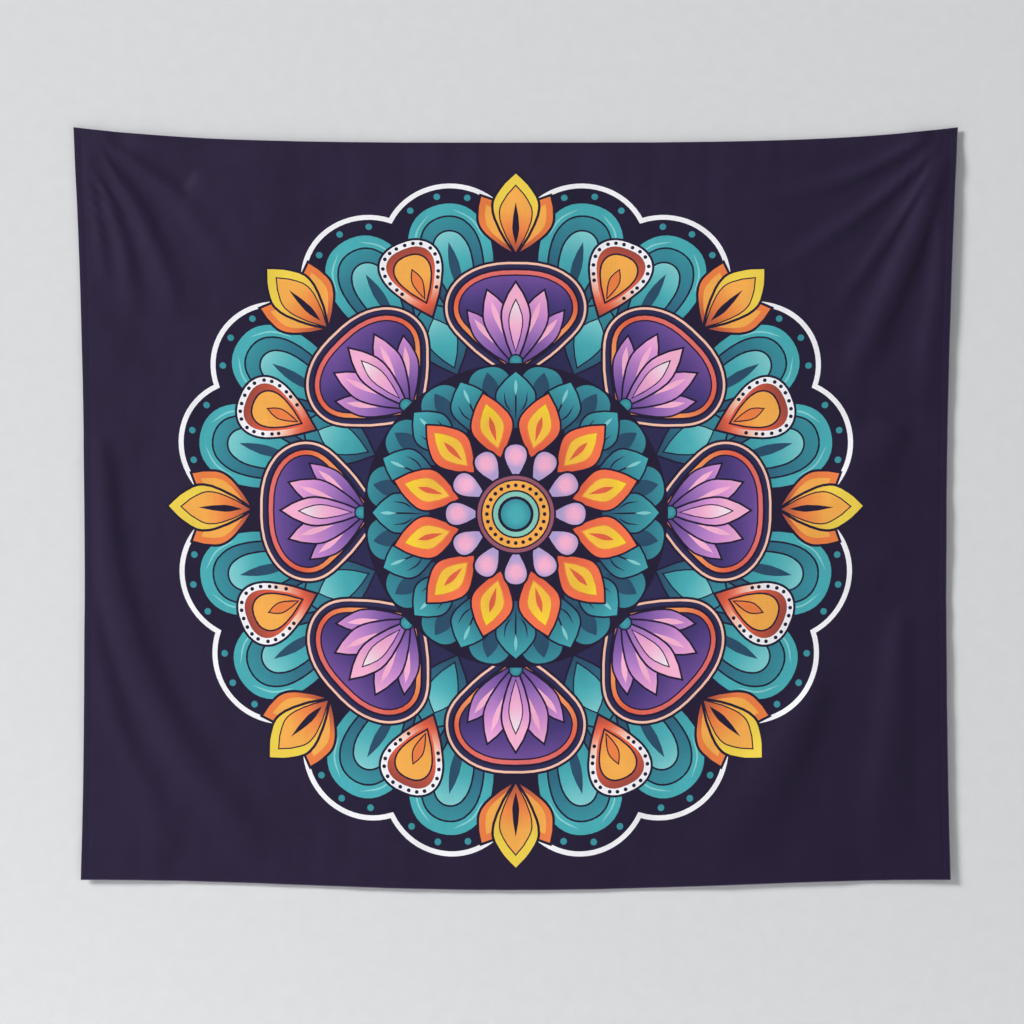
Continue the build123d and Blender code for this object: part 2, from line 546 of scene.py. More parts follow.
def fill_points(zones):
    """Staggered points over the flat cloth, and the rows that follow its edge."""
    found = [row_points(inset) for inset in BORDER_ROWS]
    clear = BORDER_ROWS[-1] + 5
    starts = [0] + [end for _, end in zones]
    for (gap, far), near in zip(zones, starts):
        rows = np.arange(-CUT_HEIGHT / 2 + clear, CUT_HEIGHT / 2 - clear, gap * 0.87)
        for i, t in enumerate(rows):
            s = np.arange(-CUT_WIDTH / 2 + clear + gap * 0.5 * (i % 2), CUT_WIDTH / 2 - clear, gap)
            r = np.hypot(s, t)
            keep = s[(r >= near) & (r < far)]
            found.append(np.column_stack([keep, np.full(len(keep), t)]))
    return np.vstack(found)


def to_print(points):
    """Points of the flat cloth as points of the print."""
    return np.column_stack([points[:, 0] / PRINT_STRETCH, print_y(points[:, 1])])


def to_cloth(points):
    """Points of the print as points of the flat cloth."""
    return np.column_stack([points[:, 0] * PRINT_STRETCH, cloth_t(points[:, 1])])


def winds_round(outline, at):
    """Which points the outline goes round anticlockwise."""
    low, high = outline.min(axis=0), outline.max(axis=0)
    near = np.nonzero(np.all((at > low) & (at < high), axis=1))[0]
    x, y = at[near, 0], at[near, 1]
    turns = np.zeros(len(near), int)
    for (ax, ay), (bx, by) in zip(outline, np.roll(outline, -1, 0)):
        if ay == by:
            continue
        crosses = (ay <= y) != (by <= y)
        left = (bx - ax) * (y - ay) - (x - ax) * (by - ay) > 0
        turns += np.where(crosses & (left == (by > ay)), 1 if by > ay else -1, 0)
    return near[turns > 0]


def triangulate(canvas, rim, inner):
    """Print points, triangles, and the last outline drawn over each (0 is the ground)."""
    points, edges, count = [], [], 0
    for outline in [rim] + canvas.outlines:
        points.append(outline)
        ends = np.arange(len(outline))
        edges.append(np.column_stack([ends, np.roll(ends, -1)]) + count)
        count += len(outline)
    points.append(inner)
    flat_points = [Vector(p) for p in np.vstack(points)]
    edges = [tuple(e) for e in np.vstack(edges).tolist()]
    found, _, triangles, _, _, _ = delaunay_2d_cdt(flat_points, edges, [], 0, 1e-4, False)
    found, triangles = np.array(found, float), np.array(triangles, int)
    middles = found[triangles].mean(axis=1)
    top = np.zeros(len(triangles), int)
    for i, outline in enumerate(canvas.outlines):
        top[winds_round(outline, middles)] = i + 1
    return found, triangles, top


def linear(colour):
    """sRGB 0-255 to the linear colours that a shader works in."""
    c = np.asarray(colour, float) / 255
    return np.where(c <= 0.04045, c / 12.92, ((c + 0.055) / 1.055) ** 2.4)


def corner_colours(canvas, points, triangles, top):
    """A linear colour for each corner of each triangle."""
    # The print's ground darkens towards the lower right: painted shade.
    paints = [fade(*PAINTED_SHADE_LINE, GROUND, GROUND_SHADE_AND_MOTTLE)] + canvas.paints
    colours = np.empty((len(triangles), 3, 3))
    for index in np.unique(top):
        chosen = np.nonzero(top == index)[0]
        at = points[triangles[chosen].ravel()]
        colours[chosen] = paints[index](at).reshape(-1, 3, 3)
    return linear(colours)


# ------------------------------------------------------------------ making mesh pieces

def make_piece(name, points, faces, rounded=True):
    """A mesh object from points in metres."""
    if isinstance(faces, np.ndarray):
        faces = faces.tolist()
    mesh = bpy.data.meshes.new(name)
    mesh.from_pydata(np.asarray(points).tolist(), [], faces)
    mesh.polygons.foreach_set("use_smooth", [rounded] * len(mesh.polygons))
    mesh.update()
    piece = bpy.data.objects.new(name, mesh)
    bpy.context.collection.objects.link(piece)
    return piece


def grid_faces(rows, columns):
    """Faces between the points of a grid, row by row."""
    corners = [j * columns + i for j in range(rows - 1) for i in range(columns - 1)]
    return [(k, k + 1, k + columns + 1, k + columns) for k in corners]


def tube_faces(rows, columns):
    """Faces of an open tube of rows rings, each of columns points."""
    faces = []
    for a in range(0, (rows - 1) * columns, columns):
        for j in range(columns):
            on = (j + 1) % columns
            faces.append((a + j, a + on, a + columns + on, a + columns + j))
    return faces


def close_shell(piece, *rings):
    """Closes each ring of points with one face and turns all faces outwards."""
    shell = bmesh.new()
    shell.from_mesh(piece.data)
    shell.verts.ensure_lookup_table()
    for ring in rings:
        shell.faces.new([shell.verts[i] for i in ring])
    bmesh.ops.recalc_face_normals(shell, faces=shell.faces)
    shell.to_mesh(piece.data)
    shell.free()
    piece.data.polygons.foreach_set("use_smooth", [True] * len(piece.data.polygons))


def close_tube(tube, columns):
    """Closes both ends of a tube whose rings have so many points."""
    count = len(tube.data.vertices)
    close_shell(tube, range(columns), range(count - columns, count))


def give_spots(piece, spots):
    """Keeps each point's place on its own flat cloth or tape, in metres, for its weave."""
    table = np.zeros((len(spots), 3), np.float32)
    table[:, :2] = spots * MM
    attribute = piece.data.attributes.new("spot", "FLOAT_VECTOR", "POINT")
    attribute.data.foreach_set("vector", table.ravel())


def give_colours(piece, corner_rgb):
    """Keeps the printed colour at each corner of each face."""
    rgba = np.ones((len(corner_rgb), 4), np.float32)
    rgba[:, :3] = corner_rgb
    attribute = piece.data.color_attributes.new("print", "FLOAT_COLOR", "CORNER")
    attribute.data.foreach_set("color", rgba.ravel())


# ------------------------------------------------------------------ how the cloth drapes

# Soft ridges that stand towards the viewer: height, width, and the line along which each runs.
RIDGES = [
    (3.5, 10, [(-736, 640), (-722, 533), (-704, 377)]),
    (5.0, 14, [(-735, 632), (-680, 481), (-654, 325)]),
    (6.0, 18, [(-726, 638), (-637, 498), (-576, 325)]),
    (5.0, 20, [(-715, 641), (-585, 551), (-480, 411)]),
    (4.0, 20, [(-689, 646), (-532, 611), (-324, 594)]),
    (9.5, 24, [(736, 622), (677, 446), (572, 203)]),
    (5.0, 13, [(722, 606), (633, 464), (546, 342)]),
    (5.0, 15, [(731, 632), (616, 533), (459, 429)]),
    (4.5, 17, [(714, 643), (564, 577), (390, 542)]),
    (4.0, 20, [(734, 551), (722, 325), (700, 133)]),
    (8.0, 30, [(-724, 116), (-689, -180), (-576, -424), (-428, -598)]),
    (3.5, 24, [(-750, -145), (-689, -389), (-585, -615)]),
    (6.0, 52, [(529, -302), (425, -493), (320, -632)]),
    (4.0, 40, [(668, -180), (651, -424), (599, -632)]),
    (4.5, 55, [(663, 143), (600, 60), (560, -20)]),
    (5.0, 80, [(-560, 560), (-463, 515), (-380, 450)]),
]
NARROWEST_FOLD = 9.0
STIFF_BORDER, STIFF_BLEND = 17.0, 4.0
FORWARD, BACKWARD = 9.0, 5.0
GRID_STEP = 20.0
SETTLING_FRAMES = 50
SETTLED_SHARE = 0.8


def grid_axes():
    """The settling grid's lines across the flat cloth and up it."""
    across = np.linspace(-CUT_WIDTH / 2, CUT_WIDTH / 2, int(CUT_WIDTH / GRID_STEP) + 1)
    up = np.linspace(-CUT_HEIGHT / 2, CUT_HEIGHT / 2, int(CUT_HEIGHT / GRID_STEP) + 1)
    return across, up


def ridge_relief(s, t):
    """How far the listed ridges stand forward at (s, t), in millimetres."""
    total = np.zeros(np.shape(s))
    for height, width, line in RIDGES:
        path = smooth(line, closed=False, step=30)
        nearest = np.full(np.shape(s), np.inf)
        along = np.zeros(np.shape(s))
        for i in range(len(path) - 1):
            a, way = path[i], path[i + 1] - path[i]
            w = np.clip(((s - a[0]) * way[0] + (t - a[1]) * way[1]) / (way @ way), 0, 1)
            away = np.hypot(s - a[0] - w * way[0], t - a[1] - w * way[1])
            closer = away < nearest
            nearest = np.where(closer, away, nearest)
            along = np.where(closer, (i + w) / (len(path) - 1), along)
        spread = np.maximum(width * (0.45 + 0.75 * along), NARROWEST_FOLD)
        total += height * np.sin(math.pi * along ** 0.62) ** 0.8 * np.exp(-(nearest / spread) ** 2)
    return total


def simulated_relief():
    """The cloth hung by its two corners and left to settle: its relief on the grid."""
    across, up = grid_axes()
    s, t = np.meshgrid(across, up)
    columns = len(across)
    x, z = hang(s, t)
    seed = ridge_relief(s, t)
    points = np.column_stack([x.ravel(), -seed.ravel(), z.ravel()]) * MM
    hung = make_piece("settling", points, grid_faces(len(up), columns), rounded=False)
    mesh = hung.data
    hung.shape_key_add(name="start", from_mix=False)
    rest = hung.shape_key_add(name="cut", from_mix=False)
    cut = np.column_stack([s.ravel(), np.zeros(s.size), t.ravel() + z.mean()]) * MM
    rest.data.foreach_set("co", cut.ravel())
    corners = hung.vertex_groups.new(name="corners")
    last_row = (len(up) - 1) * columns
    for start, step in ((last_row, 1), (last_row + columns - 1, -1)):
        for offset in (0, step, -columns):
            corners.add([start + offset], 1.0, "REPLACE")
    cloth = hung.modifiers.new("Cloth", "CLOTH")
    settings = cloth.settings
    settings.quality = 6
    settings.mass = 0.0012
    settings.tension_stiffness = settings.compression_stiffness = 12
    settings.shear_stiffness = 4
    settings.bending_stiffness = 10
    settings.air_damping = 5
    settings.vertex_group_mass = "corners"
    settings.rest_shape_key = rest
    scene = bpy.context.scene
    cloth.point_cache.frame_start, cloth.point_cache.frame_end = 1, SETTLING_FRAMES
    for number in range(1, SETTLING_FRAMES + 1):
        scene.frame_set(number)
    settled = hung.evaluated_get(bpy.context.evaluated_depsgraph_get()).to_mesh()
    at = np.empty(len(points) * 3)
    settled.vertices.foreach_get("co", at)
    bpy.data.objects.remove(hung)
    bpy.data.meshes.remove(mesh)
    scene.frame_set(1)
    return -at.reshape(-1, 3)[:, 1].reshape(s.shape) / MM


def spline_sample(grid, s, t):
    """A smooth value between the grid's own, by cubic B-splines."""
    fx = np.clip((s + CUT_WIDTH / 2) / GRID_STEP, 0, grid.shape[1] - 1.001)
    fy = np.clip((t + CUT_HEIGHT / 2) / GRID_STEP, 0, grid.shape[0] - 1.001)
    ix, iy = fx.astype(int), fy.astype(int)
    wx, wy = fx - ix, fy - iy
    padded = np.pad(grid, 2, mode="reflect", reflect_type="odd")

    def weights(w):
        """How much each of four neighbours counts, w of the way between the middle two."""
        return [(1 - w) ** 3 / 6, (3 * w ** 3 - 6 * w * w + 4) / 6,
                (-3 * w ** 3 + 3 * w * w + 3 * w + 1) / 6, w ** 3 / 6]

    value = np.zeros(np.shape(fx))
    for j, in_y in enumerate(weights(wy)):
        for i, in_x in enumerate(weights(wx)):
            value += in_x * in_y * padded[iy + 1 + j, ix + 1 + i]
    return value


def near(s, t, where, radius):
    """1 at a place on the flat cloth, fading to 0 over about the radius."""
    return np.exp(-((s - where[0]) ** 2 + (t - where[1]) ** 2) / radius ** 2)


LABEL_MIDDLE = (label_low.z + label_high.z) / 2 / MM
LABEL_SPOT = (-CUT_WIDTH / 2 + 35, CUT_HEIGHT / 2 - (CORNER_Z - LABEL_MIDDLE))
# Places on the flat cloth where it lies calm, and how far round them
CALM_SPOTS = [
    ((-CUT_WIDTH / 2, CUT_HEIGHT / 2 - 20), 45),
    ((CUT_WIDTH / 2, CUT_HEIGHT / 2 - 20), 45),
    (LABEL_SPOT, 80),
]
SETTLED = simulated_relief()


def off_hem(where, half):
    """A coordinate kept softly inside the hem, whose three layers hardly bend across."""
    inset = half - np.abs(where)
    inner = STIFF_BORDER + STIFF_BLEND * np.logaddexp(0, (inset - STIFF_BORDER) / STIFF_BLEND)
    return np.sign(where) * (half - inner)


def relief(s, t):
    """How far the cloth stands forward at (s, t), from the settled cloth and the ridges."""
    s, t = off_hem(s, CUT_WIDTH / 2), off_hem(t, CUT_HEIGHT / 2)
    total = ridge_relief(s, t)
    if SETTLED is not None:
        total = total + SETTLED_SHARE * spline_sample(SETTLED - np.median(SETTLED), s, t)
    for spot, radius in CALM_SPOTS:
        total = total * (1 - near(s, t, spot, radius))
    limit = np.where(total > 0, FORWARD, BACKWARD)
    return limit * np.tanh(total / limit)


def placed(s, t, y):
    """Points in metres: flat (s, t) hung, y in millimetres before the relief carries it forward."""
    x, z = hang(s, t)
    return np.column_stack([x, y - relief(s, t), z]) * MM


def facing(s, t):
    """The front's outward normals at flat (s, t)."""
    step = 2.0
    across = placed(s + step, t, 0) - placed(s - step, t, 0)
    up = placed(s, t + step, 0) - placed(s, t - step, 0)
    normal = np.cross(across, up)
    return normal / np.linalg.norm(normal, axis=1)[:, None]


# ------------------------------------------------------------------ the printed cloth

def on_edge(points):
    """The points on the cut edge, in order anticlockwise from the lower left."""
    half_w, half_h = CUT_WIDTH / 2, CUT_HEIGHT / 2
    s, t = points[:, 0], points[:, 1]
    fit = 0.05
    along = np.full(len(points), np.inf)
    along = np.where(np.abs(s + half_w) < fit, 3 * CUT_WIDTH + half_h - t, along)
    along = np.where(np.abs(t - half_h) < fit, 2 * CUT_WIDTH + half_w - s, along)
    along = np.where(np.abs(s - half_w) < fit, CUT_WIDTH + half_h + t, along)
    along = np.where(np.abs(t + half_h) < fit, s + half_w, along)
    chosen = np.nonzero(np.isfinite(along))[0]
    return chosen[np.argsort(along[chosen])]


UNDYED = (176, 170, 186)
BLEED = 0.42


def make_cloth():
    """The printed cloth: its front, its paler back and the thin edge between them, in one shell."""
    canvas = draw_print()
    cut_edge, inner = to_print(row_points(0)), to_print(fill_points(FILL_ZONES))
    points, faces, top = triangulate(canvas, cut_edge, inner)
    front_rgb = corner_colours(canvas, points, faces, top)
    back_rgb = BLEED * front_rgb + (1 - BLEED) * linear(UNDYED)
    spots = to_cloth(points)
    s, t = spots[:, 0], spots[:, 1]
    rim, count = on_edge(spots), len(spots)
    after = np.roll(rim, -1)
    edge_faces = np.vstack([
        np.column_stack([after, rim, rim + count]),
        np.column_stack([after, rim + count, after + count]),
    ])
    edge_rgb = np.tile(linear(GROUND), (3 * len(edge_faces), 1))
    shell = np.vstack([placed(s, t, FRONT_Y), placed(s, t, BACK_Y)])
    shell_faces = np.vstack([faces, faces[:, ::-1] + count, edge_faces])
    cloth = make_piece("printed_cloth", shell, shell_faces)
    give_spots(cloth, np.vstack([spots, spots]))
    front_rgb, back_rgb = front_rgb.reshape(-1, 3), back_rgb[:, ::-1].reshape(-1, 3)
    give_colours(cloth, np.vstack([front_rgb, back_rgb, edge_rgb]))
    outward = facing(s, t)
    cloth.data.normals_split_custom_set_from_vertices(np.vstack([outward, -outward]).tolist())
    return cloth


# ------------------------------------------------------------------ hems and their stitching

SIDES = ("top", "bottom", "left", "right")


def inside_edge(side, distance, share):
    """Flat points at a distance inside one side's edge, share 0 to 1 along its mitred length."""
    half_w, half_h = CUT_WIDTH / 2 - distance, CUT_HEIGHT / 2 - distance
    sign = np.full(np.shape(share), 1.0 if side in ("top", "right") else -1.0)
    if side in ("top", "bottom"):
        return (2 * share - 1) * half_w, sign * half_h
    return sign * half_w, (1 - 2 * share) * half_h


def side_length(side):
    """The cut length of one side."""
    return CUT_WIDTH if side in ("top", "bottom") else CUT_HEIGHT


# The hem's section: how far in from the cut edge, and how far behind the cloth
HEM_SECTION = [
    (0.42, 0.00), (0.10, 0.10), (0.00, 0.32), (0.14, 0.56), (0.60, 0.68), (2.6, 0.70), (6.0, 0.72),
    (9.2, 0.66), (10.1, 0.50), (10.5, 0.44), (10.9, 0.50), (11.5, 0.60), (11.9, 0.46), (12.0, 0.28),
    (11.8, 0.06),
]
HEM_LIFT = 0.02
HEM_ROW_STEP = 8
HEM_WAVES, HEM_WAVE_HEIGHT = 24, 0.06


def make_hem(side, seed):
    """One edge of the cloth, turned over twice to the back and dented along its stitches."""
    random = np.random.default_rng(seed)
    rows = int(side_length(side) / HEM_ROW_STEP)
    share = np.linspace(0, 1, rows)
    waves = random.normal(0, HEM_WAVE_HEIGHT, HEM_WAVES)
    slow = np.interp(share, np.linspace(0, 1, HEM_WAVES), waves)
    points = np.empty((rows, len(HEM_SECTION), 3))
    spots = np.empty((rows, len(HEM_SECTION), 2))
    for j, (distance, depth) in enumerate(HEM_SECTION):
        s, t = inside_edge(side, distance, share)
        puff = slow * math.sin(math.pi * min(distance / STITCH_INSET, 1)) if depth > 0.5 else 0
        points[:, j] = placed(s, t, BACK_Y + HEM_LIFT + depth + puff)
        spots[:, j] = np.column_stack([s, t])
    faces = tube_faces(rows, len(HEM_SECTION))
    hem = make_piece("hem_band_" + side, points.reshape(-1, 3), faces)
    close_tube(hem, len(HEM_SECTION))
    give_spots(hem, spots.reshape(-1, 2))
    return hem


STITCH_PITCH = 3.2
STITCH_SHARE = 0.86
# Rings along one stitch: the share of its length, and how full it is there
STITCH_RINGS = [(0.06, 0.55), (0.3, 1.0), (0.7, 1.0), (0.94, 0.55)]
STITCH_SIDES = 6
THREAD_WIDE, THREAD_HIGH = 0.24, 0.17


def make_stitches(name, side, y, bulge):
    """A row of lockstitches: each a short plump length of thread that dips at both ends."""
    count = int((side_length(side) - 2 * STITCH_INSET) / STITCH_PITCH)
    starts = np.arange(count) / count
    across_axis = 2 if side in ("top", "bottom") else 0
    dip = STITCH_RINGS[0][1]
    points = []
    for share, fatness in STITCH_RINGS:
        s, t = inside_edge(side, STITCH_INSET, starts + share * STITCH_SHARE / count)
        centre = placed(s, t, y + bulge * (fatness - dip))
        for j in range(STITCH_SIDES):
            turn = 2 * math.pi * j / STITCH_SIDES
            shift = np.zeros(3)
            shift[across_axis] = THREAD_WIDE * fatness * math.cos(turn) * MM
            shift[1] = THREAD_HIGH * fatness * math.sin(turn) * MM
            points.append(centre + shift)
    per = len(points)
    one = tube_faces(len(STITCH_RINGS), STITCH_SIDES)
    one += [tuple(range(STITCH_SIDES)), tuple(range(per - 1, per - STITCH_SIDES - 1, -1))]
    faces = [tuple(k * per + i for i in face) for k in range(count) for face in one]
    piece = make_piece(name, np.stack(points, axis=1).reshape(-1, 3), faces)
    close_shell(piece)
    return piece


# ------------------------------------------------------------------ loops, tacks and label

def sweep(name, path, widthwise, width, thickness, bend=0.0):
    """A tape along a path in millimetres; widthwise gives its width's direction at each point."""
    path, widthwise = np.asarray(path, float), np.asarray(widthwise, float)
    ahead = np.gradient(path, axis=0)
    ahead /= np.linalg.norm(ahead, axis=1)[:, None]
    widthwise = widthwise - ahead * np.sum(widthwise * ahead, axis=1)[:, None]
    widthwise /= np.linalg.norm(widthwise, axis=1)[:, None]
    through = np.cross(ahead, widthwise)
    section = []
    for turn in np.linspace(0, 2 * math.pi, 16, endpoint=False):
        c, d = math.cos(turn), math.sin(turn)
        a = math.copysign(abs(c) ** 0.35, c) * width / 2
        b = math.copysign(abs(d) ** 0.6, d) * thickness / 2 * (1 - bend * (2 * a / width) ** 2)
        section.append((a, b))
    rings = [path + widthwise * a + through * b for a, b in section]
    points = np.stack(rings, axis=1).reshape(-1, 3) * MM
    piece = make_piece(name, points, tube_faces(len(path), len(section)))
    close_tube(piece, len(section))
    along = np.repeat(lengths_along(path), len(section))
    give_spots(piece, np.column_stack([along, np.tile([a for a, _ in section], len(path))]))
    return piece


def lengths_along(path):
    """How far along the path each of its points lies."""
    return np.concatenate([[0], np.cumsum(np.linalg.norm(np.diff(path, axis=0), axis=1))])


EYE_RADIUS = 4.0
TAPE_THICKNESS = 0.8
TAPE_WIDTH = 4.0
LEG_APART = 2.05


def loop_path(eye_x):
    """The whole tape: flat end, quarter turn, round the nail, quarter turn, flat end."""
    loop_y = (loop_low.y + loop_high.y) / 2 / MM
    tab_y = (tab_low.y + tab_high.y) / 2 / MM
    tab_bottom, tab_top = tab_low.z / MM, tab_high.z / MM
    radius = EYE_RADIUS + TAPE_THICKNESS / 2 + 0.05
    half = [
        (-LEG_APART, tab_y, tab_bottom + 0.2, 0),
        (-LEG_APART, tab_y, tab_bottom + 4, 0),
        (-LEG_APART, tab_y, tab_top - 2.0, 0),
        (-1.75, tab_y + 0.6, tab_top - 0.2, 0.12),
        (-0.95, loop_y - 1.2, tab_top + 1.3, 0.6),
        (-0.55, loop_y, tab_top + 2.9, 1),
        (-1.3, loop_y, -radius * 1.12, 1),
    ]
    first, last = math.radians(232), math.radians(90)
    for k in range(9):
        a = first + (last - first) * k / 8
        half.append((radius * math.cos(a), loop_y, radius * math.sin(a), 1))
    points = half + [(-x, y, z, w) for x, y, z, w in reversed(half[:-1])]
    table = np.array(points)
    lengths = lengths_along(table[:, :3])
    at = np.linspace(0, lengths[-1], 110)
    fine = np.column_stack([np.interp(at, lengths, table[:, i]) for i in range(4)])
    for _ in range(5):
        fine[1:-1] = 0.25 * fine[:-2] + 0.5 * fine[1:-1] + 0.25 * fine[2:]
    fine[:, 0] += eye_x
    return fine


def make_loop(side, eye_x):
    """The tape, flat where it is sewn down and on edge round the nail."""
    fine = loop_path(eye_x)
    upright = fine[:, 3]
    turn = upright * math.pi / 2
    flatwise = np.where(upright > 0.98, 0, np.cos(turn))
    widthwise = np.column_stack([flatwise, np.sin(turn), np.zeros(len(fine))])
    return sweep("loop_tape_" + side, fine[:, :3], widthwise, TAPE_WIDTH, TAPE_THICKNESS, 0.25)


TACK_TURNS, TACK_SPAN, TACK_SHARE = 17, 6.0, 0.86
TACK_THREAD_WIDTH, TACK_THREAD_THICKNESS = 0.3, 0.34


def make_tack(side, eye_x):
    """A bar tack: close zigzag stitches across both tape ends."""
    low_z, high_z = tack_low.z / MM, tack_high.z / MM
    path = []
    for share in np.linspace(0, 1, TACK_TURNS * 6):
        swing = math.asin(math.sin(share * TACK_TURNS * math.pi)) / (math.pi / 2)
        z = (low_z + high_z) / 2 + swing * (high_z - low_z) / 2 * TACK_SHARE
        y = tack_low.y / MM + 0.16 + 0.14 * (1 - swing * swing)
        path.append((eye_x + (share - 0.5) * TACK_SPAN, y, z))
    up = np.tile([0.0, 1.0, 0.0], (len(path), 1))
    return sweep("bar_tack_" + side, path, up, TACK_THREAD_WIDTH, TACK_THREAD_THICKNESS)


LABEL_CAUGHT = 4.0
LABEL_LAYER = 0.13
LABEL_CURL = 2.2
LABEL_EASE = 0.02
LABEL_ROWS, LABEL_COLUMNS = 20, 36


def make_label():
    """A blank satin ribbon folded in half, its two ends caught under the hem."""
    root, tip = label_low.x / MM, label_high.x / MM
    low_z, high_z = label_low.z / MM, label_high.z / MM
    front, back = label_low.y / MM, label_high.y / MM
    out = np.append(np.linspace(root - LABEL_CAUGHT, tip - 0.2, LABEL_COLUMNS), tip - 0.03)
    out_and_back = np.concatenate([out, out[-2::-1]])
    layer = np.full(len(out_and_back), front + LABEL_LAYER / 2 + LABEL_EASE)
    layer[LABEL_COLUMNS] = (front + back) / 2
    layer[LABEL_COLUMNS + 1:] = back - LABEL_LAYER / 2 - LABEL_EASE
    reach = ((out_and_back - root) / (tip - root)).clip(0, 1)
    under_hem = (-(out_and_back - root) / LABEL_CAUGHT).clip(0, 1)
    layer = layer + under_hem * (BACK_Y + 0.16 - layer)
    points, spots = [], []
    for share in np.linspace(0, 1, LABEL_ROWS + 1):
        curl = LABEL_CURL * reach ** 2 * (0.45 + 0.55 * (2 * share - 1) ** 2)
        wave = 0.2 * reach * np.sin(9.2 * reach + 2.2 * share)
        z = np.full(len(layer), low_z + (high_z - low_z) * share)
        y = layer + curl + wave - relief(*unhang(out_and_back, z))
        points.append(np.column_stack([out_and_back, y, z]))
        spots.append(np.column_stack([out_and_back, z]))
    faces = grid_faces(LABEL_ROWS + 1, len(layer))
    label = make_piece("blank_label", np.vstack(points) * MM, faces)
    give_spots(label, np.vstack(spots))
    thick = label.modifiers.new("Thickness", "SOLIDIFY")
    thick.thickness, thick.offset = LABEL_LAYER * MM, 0
    apply_modifiers(label)
    label.data.set_sharp_from_angle(angle=math.radians(35))
    return label


def apply_modifiers(piece):
    """Bakes the piece's modifiers into its mesh."""
    shaped = piece.evaluated_get(bpy.context.evaluated_depsgraph_get())
    mesh = bpy.data.meshes.new_from_object(shaped)
    piece.modifiers.clear()
    piece.data = mesh
    piece.data.polygons.foreach_set("use_smooth", [True] * len(mesh.polygons))


# ------------------------------------------------------------------ materials

class Look:
    """A material's nodes, round one Principled shader."""

    def __init__(self, name, roughness, sheen=0.0, sheen_roughness=0.5, specular=0.3):
        """A new material with these constants on its shader."""
        self.material = bpy.data.materials.new(name)
        self.material.use_nodes = True
        self.tree = self.material.node_tree
        self.shader = next(n for n in self.tree.nodes if n.type == "BSDF_PRINCIPLED")
        for socket, value in (
            ("Roughness", roughness), ("Sheen Weight", sheen), ("Sheen Roughness", sheen_roughness),
            ("Specular IOR Level", specular),
        ):
            self.shader.inputs[socket].default_value = value

    def put(self, socket, value):
        """Links a socket to the socket, or sets its constant."""
        if isinstance(value, bpy.types.NodeSocket):
            self.tree.links.new(value, socket)
        else:
            socket.default_value = value

    def node(self, kind, inputs=(), output=0, **settings):
        """A new node; inputs is a list or a dict of values or sockets. Its output is returned."""
        made = self.tree.nodes.new("ShaderNode" + kind)
        for key, value in settings.items():
            setattr(made, key, value)
        pairs = inputs.items() if isinstance(inputs, dict) else enumerate(inputs)
        for key, value in pairs:
            if value is not None:
                self.put(made.inputs[key], value)
        return made.outputs[output]

    def math(self, operation, *values):
        """The values put through one operation."""
        return self.node("Math", list(values), operation=operation)

    def times(self, a, b):
        """Two values multiplied."""
        return self.math("MULTIPLY", a, b)

    def mix(self, share, a, b, blend="MIX"):
        """Two colours mixed by share."""
        made = self.tree.nodes.new("ShaderNodeMix")
        made.data_type, made.blend_type = "RGBA", blend
        for socket, value in ((made.inputs[0], share), (made.inputs[6], a), (made.inputs[7], b)):
            self.put(socket, value)
        return made.outputs[2]

    def tinted(self, colour, amount):
        """The colour multiplied by the amount."""
        return self.mix(1.0, colour, self.node("CombineColor", [amount] * 3), "MULTIPLY")

    def noise(self, where, scale, detail=2.0):
        """Cloudy noise at the place."""
        return self.node("TexNoise", {"Vector": where, "Scale": scale, "Detail": detail})

    def stretched(self, where, scales):
        """The place scaled along each axis."""
        return self.node("VectorMath", [where, scales], operation="MULTIPLY")

    def streaks(self, where, scales, detail=2.0):
        """Noise drawn out along one axis."""
        return self.noise(self.stretched(where, scales), 1.0, detail)

    def ripple(self, value, pitch):
        """A wave between -1 and 1 that repeats at the pitch."""
        return self.math("SINE", self.times(value, 2 * math.pi / pitch))

    def across_range(self, value, start, end, first, last, **settings):
        """A value that goes from first to last while value goes from start to end."""
        return self.node("MapRange", {0: value, 1: start, 2: end, 3: first, 4: last}, **settings)

    def between(self, value, low, high):
        """A 0 to 1 value moved to run from low to high."""
        return self.math("MULTIPLY_ADD", value, high - low, low)

    def spot(self):
        """The point's place on its own flat cloth or tape, in metres."""
        return self.node("Attribute", [], 1, attribute_name="spot")

    def first_two(self, where):
        """The place's first two coordinates."""
        apart = self.tree.nodes.new("ShaderNodeSeparateXYZ")
        self.put(apart.inputs[0], where)
        return apart.outputs[0], apart.outputs[1]

    def finish(self, colour, roughness, heights):
        """heights is a list of (height socket, distance in metres, strength)."""
        self.put(self.shader.inputs["Base Color"], colour)
        self.put(self.shader.inputs["Roughness"], roughness)
        normal = None
        for height, distance, strength in heights:
            normal = self.node("Bump", {
                "Height": height, "Distance": distance, "Strength": strength, "Normal": normal,
            })
        self.put(self.shader.inputs["Normal"], normal)
        return self.material


def rgba(colour):
    """An sRGB 0-255 colour as a shader's own."""
    return (*linear(colour).tolist(), 1.0)


YARN_PITCH = 0.0009
TWILL_PITCH = 0.0006
PUCKER_PITCH = 2.6 * STITCH_PITCH * MM


def weave_height(look, along, across):
    """Plain weave: threads along and across that pass over each other in turn."""
    warp, weft = look.ripple(along, YARN_PITCH), look.ripple(across, YARN_PITCH)
    return look.between(look.times(warp, weft), 0.5, 1.0)


def stitch_pucker(look, s, t, inset):
    """The furrow that the stitching pulls into the cloth, deeper at every few stitches."""
    wave = look.ripple(look.math("ADD", s, t), PUCKER_PITCH)
    off_stitch = look.math("DIVIDE", look.math("SUBTRACT", inset, STITCH_INSET * MM), 0.003)
    at_stitch = look.math("EXPONENT", look.times(look.times(off_stitch, off_stitch), -1.0))
    return look.times(at_stitch, look.math("MULTIPLY_ADD", wave, 0.3, -0.7))


